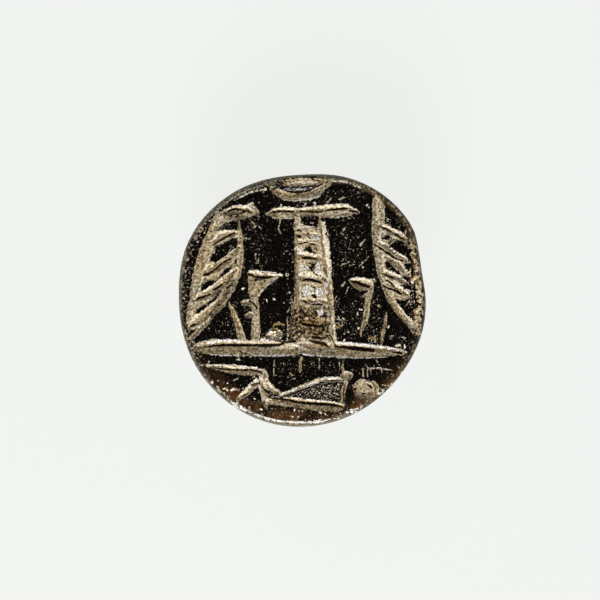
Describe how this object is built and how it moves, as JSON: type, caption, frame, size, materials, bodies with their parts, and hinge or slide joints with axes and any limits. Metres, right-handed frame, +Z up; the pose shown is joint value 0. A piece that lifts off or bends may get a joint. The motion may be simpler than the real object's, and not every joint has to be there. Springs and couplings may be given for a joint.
{
  "type": "button seal",
  "caption": "Round stone button seal: engraved face with winged figures, a pillar and a lying beast, domed back and pierced boss.",
  "frame": {"origin": "middle of the flat spot on the end of the boss, which the seal lies on", "axes": "+Z up, square to the engraved face; +Y towards the top of the engraved picture; +X to its right"},
  "size_m": [0.0178, 0.0182, 0.0091],
  "materials": {
    "stone": "polished near-black stone with brown patches, pale rough tan-grey in the cuts"
  },
  "bodies": {
    "root": {"seal": "stone"}
  },
  "joints": []
}
